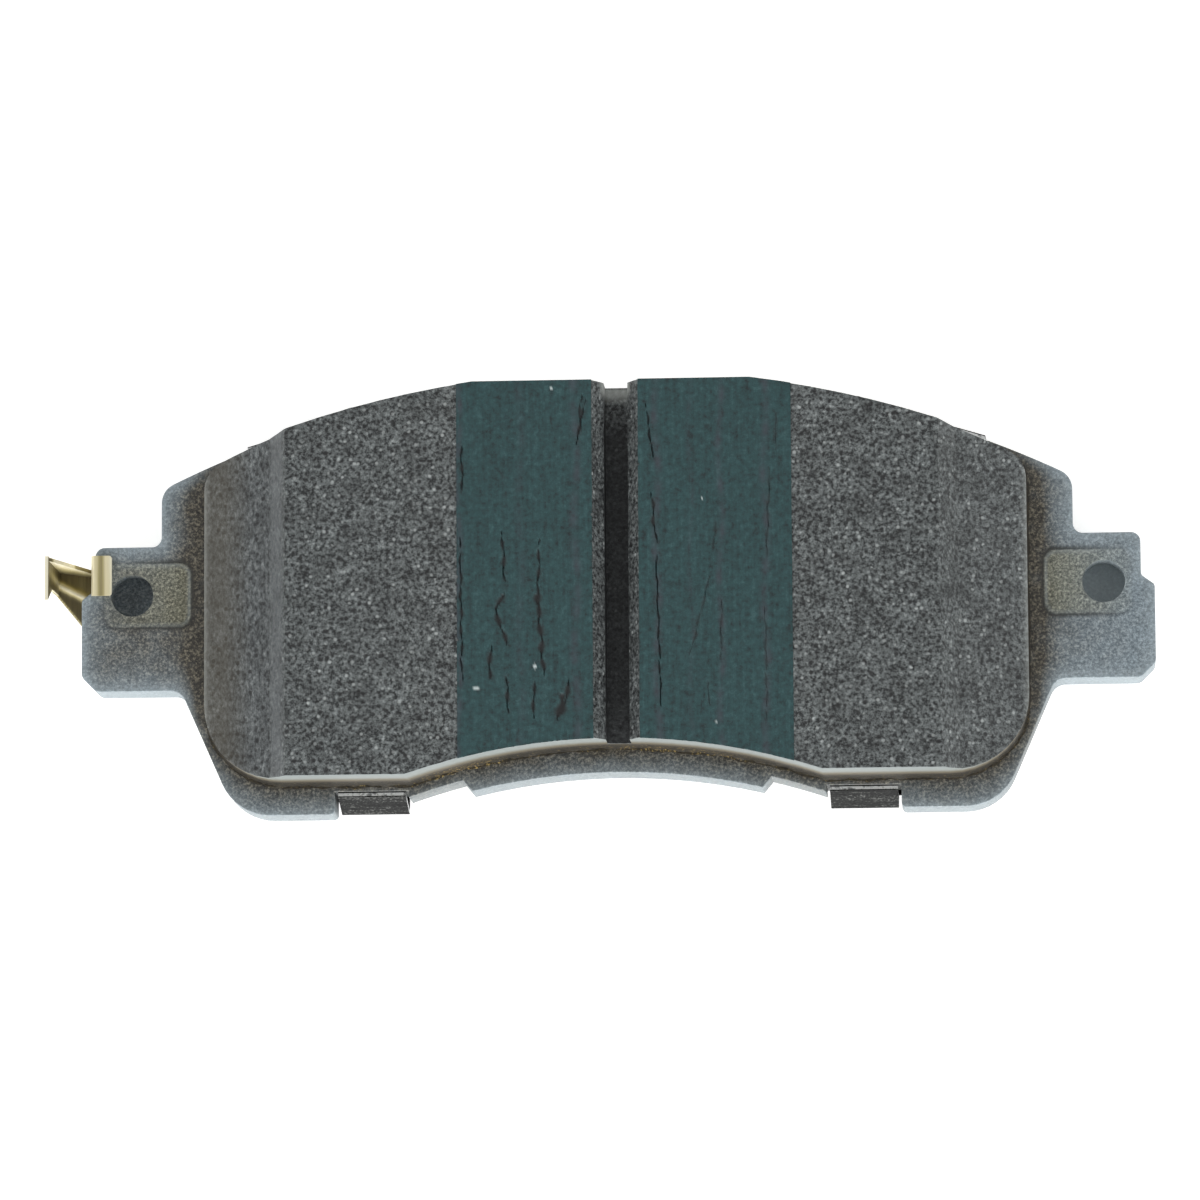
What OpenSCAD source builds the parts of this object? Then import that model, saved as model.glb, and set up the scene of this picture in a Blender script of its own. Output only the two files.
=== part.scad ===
// Disc brake pad for one side of a car's front caliper.
// The pad lies on its back: +Z points to the brake disc, +Y away from the
// wheel's axle, and X runs along the pad from ear to ear. The origin is on the
// back face of the shim, midway between the two ear bosses.

/* [Backing plate] */
// Thickness of the pressed steel plate
plate_t = 6; // [4.5:0.1:7.5]
// Width of the plate's body, between the roots of the ears
body_w = 111.3; // [96:0.1:134]
// Height of the plate's flat crown above the line of the bosses
crown_h = 24.4; // [22:0.1:28]
// Depth of the plate's lower edge below the line of the bosses
foot_h = 27.3; // [26:0.1:32]
// Distance from the line of the bosses down to the wheel's axle
axle_drop = 98.4; // [85:0.1:118]
// Radius of the plate's outer rim about the axle, less the axle's distance
rim_rise = 26.1; // [25.5:0.1:27]
// Corner radius where the rim turns down to the side
shoulder_r = 2.5; // [1:0.1:4]
// Inset of the lower side from the body's side, under the ear
waist_in = 2.4; // [0.5:0.1:3]
// Inset of the lower side from the body's side, at the lower edge
foot_in = 9.2; // [6:0.1:10.5]
// Corner radius of the lower corners
foot_r = 6.5; // [3:0.1:8]

/* [Arch of the lower edge] */
// Depth of the arch's crown below the line of the bosses
arch_drop = 22.6; // [21.5:0.1:22.8]
// Half width of the shallow lip in the middle of the arch
lip_half_w = 18.2; // [14:0.1:22]
// Height of the lip's ends over the arch beside them
lip_h = 1.55; // [0.5:0.05:1.8]

/* [Ears] */
// Length of an ear from the body's side
ear_len = 9.8; // [9:0.1:12]
// Height of the ear's top above the line of the bosses
ear_up = 5.95; // [5.6:0.05:8]
// Depth of the ear's underside below the line of the bosses
ear_down = 11.85; // [10:0.05:14]
// Depth of the step in the ear's end, where the wear indicator hooks on
ear_step = 1.65; // [1.2:0.05:2.2]
// Corner cut at the ear's lower end
ear_chamfer = 1.85; // [0.8:0.05:3]
// Distance of a boss from the body's side
boss_out = 3.62; // [3.2:0.02:4.4]
// Diameter of the half-sheared boss and of its recess
boss_d = 5.2; // [4:0.1:6]
// Depth of the recess in the front face, less than the plate's thickness
recess_depth = 3.4; // [2:0.1:4]
// Height of the boss over the plate's back
boss_h = 3.2; // [2:0.1:4]
// Width of the coined pocket round the recess
pocket_w = 10.8; // [9:0.1:11.5]
// Height of the coined pocket
pocket_h = 8.2; // [7:0.1:9]
// Depth of the coined pocket at the ear's root, from where it fades outwards
pocket_depth = 0.35; // [0.1:0.05:0.6]

/* [Moulding holes] */
// Diameter of the holes that the compound is pressed into
mould_d = 9; // [6:0.5:11]
// Distance of the inner pair of holes from the middle
mould_in_x = 14; // [12:0.5:18]
// Distance of the outer pair of holes from the middle
mould_out_x = 37; // [32:0.5:38]
// Gap left between a plug's end and the plate's back
plug_short = 0.5; // [0.2:0.1:1.5]

/* [Friction material] */
// Thickness of the glue between plate and compound
film_t = 0.1; // [0.05:0.05:0.3]
// Thickness of the softer bonding layer
underlayer_t = 2; // [1:0.1:2.4]
// Thickness of the friction lining
lining_t = 7.4; // [7:0.1:10]
// Inset of the lining's ends from the body's sides
lining_side_in = 5.6; // [3:0.1:8]
// Inset of the lining from the plate's rim
lining_rim_in = 0.85; // [0.4:0.05:3]
// Inset of the lining from the plate's crown
lining_crown_in = 0.3; // [0.1:0.05:3]
// Inset of the lining from the plate's lower edge
lining_foot_in = 3.7; // [3.3:0.1:6]
// Corner radius of the lining's upper corners
lining_top_r = 3.6; // [1:0.1:6]
// Corner radius of the lining's lower corners
lining_foot_r = 9.6; // [4:0.1:11]
// Width of the steep part of the lead-in at each end
lead_steep_w = 2.2; // [1:0.1:3]
// Drop of the steep part of the lead-in
lead_steep_d = 3; // [1:0.1:3.6]
// Width of the whole lead-in
lead_w = 10.5; // [6:0.1:14]
// Drop of the whole lead-in, at the lining's end
lead_d = 6.4; // [4:0.1:6.8]

/* [Middle slot] */
// Place of the slot's middle, to the right of the pad's middle
slot_x = 0.5; // [-2:0.1:2]
// Width of the slot
slot_w = 2.9; // [1.5:0.1:4]
// Depth of the slot
slot_depth = 6; // [3:0.1:6.8]
// Width of the bevel on each edge of the slot
slot_bevel_w = 1.35; // [0.5:0.05:2]
// Depth of the bevel on each edge of the slot
slot_bevel_d = 2.2; // [0.5:0.1:2.8]

/* [Bedding-in coating] */
// Thickness of the coating
coat_t = 0.08; // [0.04:0.02:0.2]
// Width of the coated band left of the slot
coat_left_w = 16.4; // [8:0.1:28]
// Width of the coated band right of the slot
coat_right_w = 18.5; // [8:0.1:28]

/* [Shim] */
// Thickness of the shim's steel core
core_t = 0.4; // [0.3:0.05:0.6]
// Thickness of the rubber on each side of the core
rubber_t = 0.12; // [0.05:0.01:0.2]
// Gap between shim and plate, which grease fills
grease_gap = 0.06; // [0.03:0.01:0.15]
// Inset of the shim from the plate's rim and crown
shim_rim_in = 2.1; // [1.5:0.1:4]
// Inset of the shim from the plate's sides and lower corners
shim_side_in = 2.6; // [1.5:0.1:5]
// Inset of the shim from the plate's lower edge and arch
shim_foot_in = 2.2; // [1.5:0.1:4]
// Inside radius of a tab's bend
tab_bend_r = 0.5; // [0.3:0.05:0.9]
// Width of a lower tab
low_tab_w = 8.25; // [5:0.05:10]
// Distance of a lower tab's middle from the pad's middle
low_tab_x = 29.9; // [27:0.1:32]
// Inward lean of a lower tab
low_tab_lean = 17; // [0:1:20]
// Width of an upper tab
top_tab_w = 11.8; // [6:0.1:13]
// Direction of an upper tab, from straight up
top_tab_angle = 17; // [14:0.5:19]
// Inward lean of an upper tab
top_tab_lean = 4; // [0:1:10]
// Distance of a tab's free edge from the plate's front face
tab_short = 0.6; // [0.2:0.1:2]
// Free play of the shim along the pad, to each side
shim_play = 0.35; // [0.2:0.05:0.45]
// Room that is left between tab and plate at the end of the play
tab_gap = 0.08; // [0.05:0.01:0.2]

/* [Wear indicator] */
// Thickness of the spring steel sheet
clip_t = 0.45; // [0.3:0.05:0.6]
// Gap between the indicator and the plate
clip_gap = 0.03; // [0.02:0.01:0.1]
// Reach of the front leg over the ear's face
hook_len = 2.55; // [2:0.05:2.6]
// Height of the hook on the ear's end
hook_h = 4.9; // [4:0.05:5.2]
// Reach of the arm past the ear's stepped end
arm_reach = 5.6; // [4.5:0.1:8]
// Height of the arm above the line of the bosses, at its free end
arm_up = 4.3; // [4:0.1:5]
// Height of the arm's web
arm_h = 3.3; // [2.5:0.1:3.6]
// Distance of the tip's edge from the plate's front face
tip_out = 4.8; // [3:0.1:7]
// Drop of the tip's flared end below the arm's web
tip_flare = 2.1; // [1:0.1:3]

/* [Hidden] */
// Smallest angle between two points of an arc
arc_step = 9;
// Overshoot of a cut
eps = 0.1;
$fn = 64;

// Corner radii where an ear leaves the body, above it and below it
ear_root_r = 1.2;
waist_r = 2;
// Corner radii of the ear's top, its step and its lower end
ear_top_r = 1.15;
ear_step_r = 0.6;
ear_foot_r = 1.2;
// Heights of the upper and lower end of the slanted step in the ear's end
step_top_y = 0.7;
step_foot_y = -0.5;
// Shift of the coined pocket outwards from the body's side, and its corner radius
pocket_shift = 1.65;
pocket_r = 1.6;
// Heights of the inner and outer moulding holes over the line of the bosses
mould_in_y = 2;
mould_out_y = -4;
// Depth of the tabs' seats, into the rim and into the lower edge
top_seat_in = 0.6;
low_seat_in = 2.8;
// Corner radii of a lower tab's seat: at its mouth, and its outer and inner end
seat_mouth_r = 0.6;
seat_out_r = 0.1;
seat_in_r = 0.1;
// Slope of the lip's ends, along the arch
lip_slope_w = 1.1;
// The arches of the lining and the shim run this much closer to the plate's arch
lining_arch_up = 0.6;
shim_arch_up = 0.8;
// Corner radius of the shim's upper and side corners, and its start on the rim
shim_corner_r = 3;
shim_rim_end = 4;
// Shift of an upper tab across its direction, and of its root under the shim's rim
top_tab_shift = 3.2;
top_tab_root_in = 0.9;
// How far a tab's layers run back under the shim
tab_overlap = 2;
// Height of the indicator's hook and back leg over the line of the bosses
clip_top = 4.9;
// Rise of the indicator's arm from hook to tip
arm_rise = 0.8;
// Height of the flange at the hook
flange_h = 3.2;
// Foot of the back leg: its depth, and its reach past the boss to each side
leg_foot = 8.3;
leg_out = 3.7;
leg_in = 2.8;
// Depth of the back leg at the body's side, and the radii of its corners
leg_side = 5.5;
leg_foot_r = 2;
leg_side_r = 1;
// Width and depth of the gusset under the arm
gusset_w = 2.4;
gusset_d = 3.9;
// Neck of the tip: its inset, and its distance from the tip's edge
neck_in = 0.3;
neck_h = 3.6;

shim_t = core_t + 2 * rubber_t;
plate_z = shim_t + grease_gap;
front_z = plate_z + plate_t;
under_z = front_z + film_t;
lining_z = under_z + underlayer_t;
face_z = lining_z + lining_t;

body_x = body_w / 2;
end_x = body_x + ear_len;
step_x = end_x - ear_step;
boss_x = body_x + boss_out;
rim_r = axle_drop + rim_rise;
arch_r = axle_drop - arch_drop;
lining_x = body_x - lining_side_in;

low_tab_in = low_tab_x - low_tab_w / 2;
low_tab_out = low_tab_x + low_tab_w / 2;
seat_side_gap = shim_play + tab_gap;
low_seat_y = low_seat_in - foot_h;
top_seat_r = rim_r - top_seat_in;
// A top tab swings in and out of its slanted seat as the shim slides
top_gap = tab_gap + shim_play * sin(top_tab_angle);
tab_end_z = front_z - tab_short;

clip_back_z = plate_z - clip_t;
clip_out_x = step_x + clip_gap + clip_t;
tip_x = step_x + arm_reach;
tip_z = front_z + tip_out;

// ---- outlines ----

function unit(v) = v / norm(v);

// Points of an arc about a centre, from one angle to another
function arc(centre, r, from, to) =
    let (steps = max(2, ceil(abs(to - from) / arc_step)))
    [for (i = [0:steps])
        let (a = from + (to - from) * i / steps)
        centre + r * [cos(a), sin(a)]];

// Points that round the corner b between its neighbours a and c
function corner(a, b, c, r) =
    let (u = unit(a - b), v = unit(c - b),
         half = acos(u * v) / 2,
         centre = b + unit(u + v) * r / sin(half),
         start = b + u * r / tan(half) - centre,
         stop = b + v * r / tan(half) - centre,
         from = atan2(start.y, start.x),
         turn = atan2(stop.y, stop.x) - from,
         sweep = turn > 180 ? turn - 360 : turn < -180 ? turn + 360 : turn)
    arc(centre, r, from, from + sweep);

// Outline from [x, y] points, and [x, y, r] points whose corners are rounded
function rounded(points) =
    let (n = len(points), flat = [for (p = points) [p.x, p.y]])
    [for (i = [0:n - 1])
        each len(points[i]) < 3 ? [flat[i]]
            : corner(flat[(i + n - 1) % n], flat[i], flat[(i + 1) % n], points[i].z)];

// The right half of an outline, joined to its mirror image
function both_sides(right) =
    let (n = len(right))
    concat(right, [for (i = [n - 1:-1:0])
        [-right[i].x, for (k = [1:len(right[i]) - 1]) right[i][k]]]);

// Height over the bosses of a circle about the axle
function circle_y(r, x) = sqrt(r * r - x * x) - axle_drop;

// Place along X where a circle about the axle has a given height
function circle_x(r, y) = sqrt(r * r - pow(y + axle_drop, 2));

// Points on a circle about the axle, between two places along X
function axle_arc(r, x0, x1, steps = 8) =
    [for (i = [0:steps]) let (x = x0 + (x1 - x0) * i / steps) [x, circle_y(r, x)]];

// A point given by its distance from the axle along an upper tab's direction,
// and its place across that direction
function tab_point(out, across) =
    let (a = top_tab_angle)
    [out * sin(a) + across * cos(a), out * cos(a) - across * sin(a) - axle_drop];

// Where a straight seat, square to an upper tab, has its outer and inner end
seat_out = top_tab_w / 2 + seat_side_gap;
seat_outer = tab_point(top_seat_r, top_tab_shift + seat_out);
seat_inner = tab_point(top_seat_r, top_tab_shift - seat_out);

plate_right = concat(
    axle_arc(rim_r, circle_x(rim_r, crown_h), seat_inner.x + 0.2),
    [seat_inner, seat_outer],
    axle_arc(rim_r, seat_outer.x + 0.1, body_x - shoulder_r, 4),
    [[body_x, circle_y(rim_r, body_x), shoulder_r],
     [body_x, ear_up, ear_root_r],
     [step_x, ear_up, ear_top_r],
     [step_x, step_top_y, ear_step_r],
     [end_x, step_foot_y, ear_step_r],
     [end_x, ear_chamfer - ear_down, ear_foot_r],
     [end_x - ear_chamfer, -ear_down, ear_foot_r],
     [body_x - waist_in, -ear_down, waist_r],
     [body_x - foot_in, -foot_h, foot_r],
     [low_tab_out + seat_side_gap, -foot_h, seat_mouth_r],
     [low_tab_out + seat_side_gap, low_seat_y, seat_out_r],
     [low_tab_in - seat_side_gap, low_seat_y, seat_in_r]],
    axle_arc(arch_r + lip_h, low_tab_in - seat_side_gap, lip_half_w + lip_slope_w / 2, 4),
    axle_arc(arch_r, lip_half_w - lip_slope_w / 2, 1, 6));

lining_foot_y = lining_foot_in - foot_h;
lining_arch_r = arch_r + lining_foot_in - lining_arch_up;
lining_rim_r = rim_r - lining_rim_in;

lining_right = concat(
    axle_arc(lining_rim_r, circle_x(lining_rim_r, crown_h - lining_crown_in),
             lining_x - lining_top_r),
    [[lining_x, circle_y(lining_rim_r, lining_x), lining_top_r],
     [lining_x, lining_foot_y, lining_foot_r]],
    axle_arc(lining_arch_r, circle_x(lining_arch_r, lining_foot_y), 1));

shim_foot_y = shim_foot_in - foot_h;
shim_arch_r = arch_r + lip_h + shim_foot_in - shim_arch_up;
shim_rim_r = rim_r - shim_rim_in;
shim_x = body_x - shim_side_in;

shim_right = concat(
    axle_arc(shim_rim_r, circle_x(shim_rim_r, crown_h - shim_rim_in), shim_x - shim_rim_end),
    [[shim_x, circle_y(shim_rim_r, shim_x), shim_corner_r],
     [shim_x, -ear_down, shim_corner_r],
     [body_x - foot_in - shim_side_in / 2, shim_foot_y, foot_r]],
    axle_arc(shim_arch_r, circle_x(shim_arch_r, shim_foot_y), 1));

module outline(right) { polygon(rounded(both_sides(right))); }

// ---- friction material ----

mould_holes = [[-mould_out_x, mould_out_y], [-mould_in_x, mould_in_y],
               [mould_in_x, mould_in_y], [mould_out_x, mould_out_y]];

module at_mould_holes() {
    for (p = mould_holes) translate(p) children();
}

// Full thickness of the compound's outline between two heights
module compound(z0, z1) {
    translate([0, 0, z0]) linear_extrude(z1 - z0) outline(lining_right);
}

// Wedge that cuts the lead-in at the right end
module lead_in() {
    x0 = lining_x - lead_w;
    translate([0, axle_drop, face_z]) rotate([90, 0, 0]) linear_extrude(2 * axle_drop)
        polygon([[x0, 0], [x0 + lead_steep_w, -lead_steep_d], [lining_x, -lead_d],
                 [lining_x + 1, -lead_d], [lining_x + 1, 1], [x0, 1]]);
}

// Slot with bevelled edges, cut down from the face
module slot_cut() {
    half = slot_w / 2;
    wide = half + slot_bevel_w;
    translate([slot_x, axle_drop, face_z]) rotate([90, 0, 0]) linear_extrude(2 * axle_drop)
        polygon([[-half, -slot_depth], [half, -slot_depth], [half, -slot_bevel_d],
                 [wide, 0], [wide, 1], [-wide, 1], [-wide, 0], [-half, -slot_bevel_d]]);
}

module coat(x0, x1) {
    intersection() {
        compound(face_z, face_z + coat_t);
        translate([x0, -axle_drop, lining_z]) cube([x1 - x0, 2 * axle_drop, lining_t + 1]);
    }
}

// ---- shim ----

// One face of a bent tab, as a path in the plane across its bend: out along
// the shim at height d over its back, round the bend and up the leg
function tab_face(d, out, lean, leg) =
    let (r = tab_bend_r + shim_t - d,
         centre = [out - tab_bend_r - shim_t, tab_bend_r + shim_t],
         bend = arc(centre, r, -90, lean),
         last = bend[len(bend) - 1])
    concat([[-tab_overlap, d]], bend, [last + leg * [-sin(lean), cos(lean)]]);

function reversed(points) = [for (i = [len(points) - 1:-1:0]) points[i]];

// A tab's layer between two heights over the shim's back, bent up at the
// distance out from the tab's root
module tab(d0, d1, w, out, lean) {
    leg = (tab_end_z - shim_t - tab_bend_r) / cos(lean);
    rotate([90, 0, 90]) translate([0, 0, -w / 2]) linear_extrude(w)
        polygon(concat(tab_face(d0, out, lean, leg), reversed(tab_face(d1, out, lean, leg))));
}

// How far the outer face of a leaning tab stands out from its free end
function lean_out(lean) =
    (tab_end_z - shim_t - tab_bend_r) * tan(lean) + shim_t / cos(lean)
    - (tab_bend_r + shim_t) * (1 / cos(lean) - 1);

low_tab_root = -shim_foot_y;
low_tab_out_y = -low_seat_y + tab_gap + lean_out(low_tab_lean);
top_tab_root = shim_rim_r - top_tab_root_in;
top_tab_out_r = top_seat_r + top_gap + lean_out(top_tab_lean);

module shim_layer(d0, d1) {
    translate([0, 0, d0]) linear_extrude(d1 - d0) outline(shim_right);
    for (side = [-1, 1]) {
        translate([side * low_tab_x, -low_tab_root, 0]) rotate(180)
            tab(d0, d1, low_tab_w, low_tab_out_y - low_tab_root, low_tab_lean);
        translate([0, -axle_drop, 0]) rotate(-side * top_tab_angle)
            translate([side * top_tab_shift, top_tab_root, 0])
            tab(d0, d1, top_tab_w, top_tab_out_r - top_tab_root, top_tab_lean);
    }
}

// ---- sub-parts ----

// Cut of the right ear's coined pocket: its floor slopes up to the ear's end
module pocket_cut() {
    half_w = pocket_w / 2;
    translate([body_x + pocket_shift, 0, front_z]) intersection() {
        translate([0, 0, -pocket_depth]) linear_extrude(pocket_depth + eps) polygon(rounded([
            for (c = [[1, 1], [-1, 1], [-1, -1], [1, -1]])
                [c.x * half_w, c.y * pocket_h / 2, pocket_r]]));
        rotate([90, 0, 0]) linear_extrude(pocket_h + 1, center = true)
            polygon([[-half_w, -pocket_depth], [half_w, 0], [half_w, eps], [-half_w, eps]]);
    }
}

// Pressed steel plate with two ears. Each ear has a half-sheared boss: a
// recess in a coined pocket in front, and a round peg behind.
module backing_plate() {
    color("#8b9196") {
        difference() {
            translate([0, 0, plate_z]) linear_extrude(plate_t) outline(plate_right);
            translate([0, 0, plate_z - eps]) at_mould_holes()
                cylinder(h = plate_t + 2 * eps, d = mould_d);
            for (side = [-1, 1])
                translate([side * boss_x, 0, front_z - recess_depth])
                    cylinder(h = recess_depth + eps, d = boss_d);
            pocket_cut();
            mirror([1, 0, 0]) pocket_cut();
        }
        for (side = [-1, 1])
            translate([side * boss_x, 0, plate_z - boss_h])
                cylinder(h = boss_h + eps, d = boss_d);
    }
}

// Glue line between plate and compound
module glue_film() {
    color("#7a6a3c") difference() {
        compound(front_z, under_z);
        translate([0, 0, front_z - eps]) at_mould_holes()
            cylinder(h = film_t + 2 * eps, d = mould_d);
    }
}

// Soft bonding layer, with a plug in each moulding hole
module underlayer() {
    color("#4c4740") {
        compound(under_z, lining_z);
        translate([0, 0, plate_z + plug_short]) at_mould_holes()
            cylinder(h = under_z - plate_z - plug_short + eps, d = mould_d);
    }
}

// Friction compound that rubs on the disc
module friction_lining() {
    color("#5f6365") difference() {
        compound(lining_z, face_z);
        lead_in();
        mirror([1, 0, 0]) lead_in();
        slot_cut();
    }
}

// Coated band on the lining's face, left of the slot
module coating_left() {
    edge = slot_x - slot_w / 2 - slot_bevel_w;
    color("#2f4f4d") coat(edge - coat_left_w, edge);
}

// Coated band on the lining's face, right of the slot
module coating_right() {
    edge = slot_x + slot_w / 2 + slot_bevel_w;
    color("#2f4f4d") coat(edge, edge + coat_right_w);
}

// Rubber on the plate's side of the shim
module shim_front_rubber() {
    color("#2b2d2e") shim_layer(shim_t - rubber_t, shim_t);
}

// Steel sheet with four tabs that clip the shim to the plate
module shim_steel_core() {
    color("#b4b8bb") shim_layer(rubber_t, shim_t - rubber_t);
}

// Rubber on the piston's side of the shim
module shim_back_rubber() {
    color("#2b2d2e") shim_layer(0, rubber_t);
}

// Spring steel clip on the left ear. Its back leg fits over the boss, its hook
// wraps the ear's stepped end, and its arm carries the tip that scrapes the
// disc when the lining is worn.
module wear_indicator() {
    arm_low = arm_up - arm_h;
    arm_root = arm_up - arm_rise;
    hook_foot = clip_top - hook_h;
    flange_slope = -arm_rise / (tip_x - step_x);
    color("#c9b878") {
        // back leg and web of the arm
        translate([0, 0, clip_back_z]) linear_extrude(clip_t) difference() {
            polygon(rounded([
                [-body_x, clip_top, leg_side_r], [-step_x, clip_top], [-step_x, arm_root],
                [-tip_x, arm_up], [-tip_x, arm_low], [-step_x - gusset_w, arm_low - gusset_d],
                [-boss_x - leg_out, -leg_foot, leg_foot_r],
                [-boss_x + leg_in, -leg_foot, leg_foot_r], [-body_x, -leg_side, leg_side_r]]));
            translate([-boss_x, 0]) circle(d = boss_d + 2 * clip_gap);
        }
        // hook round the ear's end and over its face
        translate([-clip_out_x, hook_foot + arm_rise, clip_back_z])
            cube([clip_t, hook_h - arm_rise, front_z + clip_gap + clip_t - clip_back_z]);
        translate([-clip_out_x, hook_foot, front_z + clip_gap])
            cube([hook_len, hook_h, clip_t]);
        // flange along the top of the arm, which runs out to the tip
        multmatrix([[1, 0, 0, 0],
                    [flange_slope, 1, 0, arm_up + flange_slope * tip_x],
                    [0, 0, 1, 0]])
            rotate([90, 0, 0]) linear_extrude(clip_t)
            polygon([[-clip_out_x, clip_back_z], [-clip_out_x, clip_back_z + flange_h],
                     [-tip_x, tip_z], [-tip_x, clip_back_z]]);
        // tip, flared towards the disc
        translate([-tip_x, 0, 0]) rotate([90, 0, 90]) linear_extrude(clip_t)
            polygon([[arm_up, clip_back_z], [arm_up, tip_z], [arm_low - tip_flare, tip_z],
                     [arm_low - neck_in, tip_z - neck_h], [arm_low, clip_back_z]]);
    }
}

backing_plate();
glue_film();
underlayer();
friction_lining();
coating_left();
coating_right();
shim_front_rubber();
shim_steel_core();
shim_back_rubber();
wear_indicator();
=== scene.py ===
import math

import bpy
import numpy as np
from mathutils import Matrix, Vector, kdtree, noise


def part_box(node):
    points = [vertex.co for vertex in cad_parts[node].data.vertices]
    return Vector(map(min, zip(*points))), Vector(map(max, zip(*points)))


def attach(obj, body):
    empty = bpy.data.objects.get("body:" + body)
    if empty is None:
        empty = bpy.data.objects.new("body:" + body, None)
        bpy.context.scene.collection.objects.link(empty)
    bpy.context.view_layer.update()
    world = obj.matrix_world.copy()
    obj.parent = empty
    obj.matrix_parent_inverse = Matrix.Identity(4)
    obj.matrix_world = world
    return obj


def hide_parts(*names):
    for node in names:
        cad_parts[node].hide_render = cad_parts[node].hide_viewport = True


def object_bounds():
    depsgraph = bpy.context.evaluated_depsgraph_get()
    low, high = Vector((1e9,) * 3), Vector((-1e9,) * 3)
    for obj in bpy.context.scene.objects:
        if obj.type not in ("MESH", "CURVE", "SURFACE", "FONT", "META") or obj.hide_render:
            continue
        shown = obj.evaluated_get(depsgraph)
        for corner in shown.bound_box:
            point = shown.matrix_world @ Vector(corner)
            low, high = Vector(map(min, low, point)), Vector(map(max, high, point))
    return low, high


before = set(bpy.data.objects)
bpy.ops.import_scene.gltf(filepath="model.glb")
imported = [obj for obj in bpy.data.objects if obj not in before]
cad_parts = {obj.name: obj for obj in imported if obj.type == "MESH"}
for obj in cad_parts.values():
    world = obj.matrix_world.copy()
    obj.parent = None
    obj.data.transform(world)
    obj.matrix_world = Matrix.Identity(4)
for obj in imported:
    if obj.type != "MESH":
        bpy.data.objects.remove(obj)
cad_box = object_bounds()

MM = 0.001

# How near a flat face a point counts as lying in it
ON_PLANE = 0.01 * MM

# Thicknesses that no box gives: the shim with the grease over it, the underlayer, and
# the paint of the coated bands
SHIM_AND_GREASE, UNDERLAYER_THICK, PAINT_THICK = 0.70 * MM, 2.0 * MM, 0.08 * MM

# Heights of the pad's layers, and places along it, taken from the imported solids
PLATE_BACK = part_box("shim_back_rubber")[0].z + SHIM_AND_GREASE
PLATE_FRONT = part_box("glue_film")[0].z
UNDER_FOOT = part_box("underlayer")[1].z - UNDERLAYER_THICK
LINING_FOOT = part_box("friction_lining")[0].z
LINING_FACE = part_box("friction_lining")[1].z
COAT_LEFT = (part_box("coating_left")[0].x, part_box("coating_left")[1].x)
COAT_RIGHT = (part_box("coating_right")[0].x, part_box("coating_right")[1].x)
SLOT_MIDDLE = (COAT_LEFT[1] + COAT_RIGHT[0]) / 2
PAD_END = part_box("backing_plate")[1].x

# The plate's moulding holes: their middles, and how far their rims and their walls reach
MOULD_HOLES = [(x * MM, y * MM) for x, y in ((-37, -4), (-14, 2), (14, 2), (37, -4))]
HOLE_RIM, HOLE_WALL = 4.7 * MM, 5.0 * MM

# The coined pocket on each ear, in millimetres: its inner end, length, height and corners
POCKET_INNER, POCKET_LONG, POCKET_HIGH, POCKET_ROUND = 51.9, 10.8, 8.2, 1.6

# The part of each ear that its pocket takes up: both ends, from the ear's end, and half height
ZONE_INNER, ZONE_OUTER, ZONE_HALF = 13.6 * MM, 2.6 * MM, 4.3 * MM

# The round recess on each ear: its distance from the pad's middle, its reach, and a depth
# that takes in its floor and not the boss behind it
BOSS_OUT, BOSS_ROUND, RECESS_DEEP = 59.27 * MM, 2.7 * MM, 3.6 * MM

# The lining, in millimetres: half widths of its slot with and without the bevels, where its
# lead-ins and its browned end start, the middle of the left lead-in's facet, and its ends
BEVELS_HALF, SLOT_HALF, LEAD_START, BROWN_START = 3.0, 1.6, 39.8, 44.0
FACET_MIDDLE, LINING_END = 40.7, 49.6

# Where the indicator's arm starts, in millimetres left of the pad's middle
ARM_START = 64.4


# ---- tools ----

def pick(piece):
    """Makes one piece the only one that operators act on."""
    bpy.ops.object.select_all(action="DESELECT")
    piece.select_set(True)
    bpy.context.view_layer.objects.active = piece


def copy_of(node, name):
    """A copy of a CAD node whose loose triangles are merged into whole flat faces."""
    piece = bpy.data.objects.new(name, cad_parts[node].data.copy())
    bpy.context.scene.collection.objects.link(piece)
    piece.data.name = name
    piece.data.materials.clear()
    pick(piece)
    bpy.ops.mesh.customdata_custom_splitnormals_clear()
    bpy.ops.object.mode_set(mode="EDIT")
    bpy.ops.mesh.select_all(action="SELECT")
    bpy.ops.mesh.remove_doubles(threshold=1e-6)
    bpy.ops.mesh.dissolve_limited(angle_limit=math.radians(0.5))
    bpy.ops.object.mode_set(mode="OBJECT")
    return piece


def select_edges(piece, test):
    """Selects the edges whose middle and whose two faces' normals pass a test."""
    pick(piece)
    mesh = piece.data
    sides = {}
    for face in mesh.polygons:
        for key in face.edge_keys:
            sides.setdefault(key, []).append(face.normal)
    bpy.ops.object.mode_set(mode="EDIT")
    bpy.ops.mesh.select_mode(type="EDGE")
    bpy.ops.mesh.select_all(action="DESELECT")
    bpy.ops.object.mode_set(mode="OBJECT")
    for edge in mesh.edges:
        ends = [mesh.vertices[i].co for i in edge.vertices]
        normals = sides.get(tuple(sorted(edge.vertices)), [])
        sharp = len(normals) == 2 and normals[0].dot(normals[1]) < 0.8
        edge.select = sharp and test((ends[0] + ends[1]) / 2, ends, normals)
    bpy.ops.object.mode_set(mode="EDIT")


def bevel_edges(piece, width, segments, test):
    """Rounds the chosen edges of a piece."""
    select_edges(piece, test)
    bpy.ops.mesh.bevel(offset=width, segments=segments, profile=0.5, clamp_overlap=True)
    bpy.ops.object.mode_set(mode="OBJECT")


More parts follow.
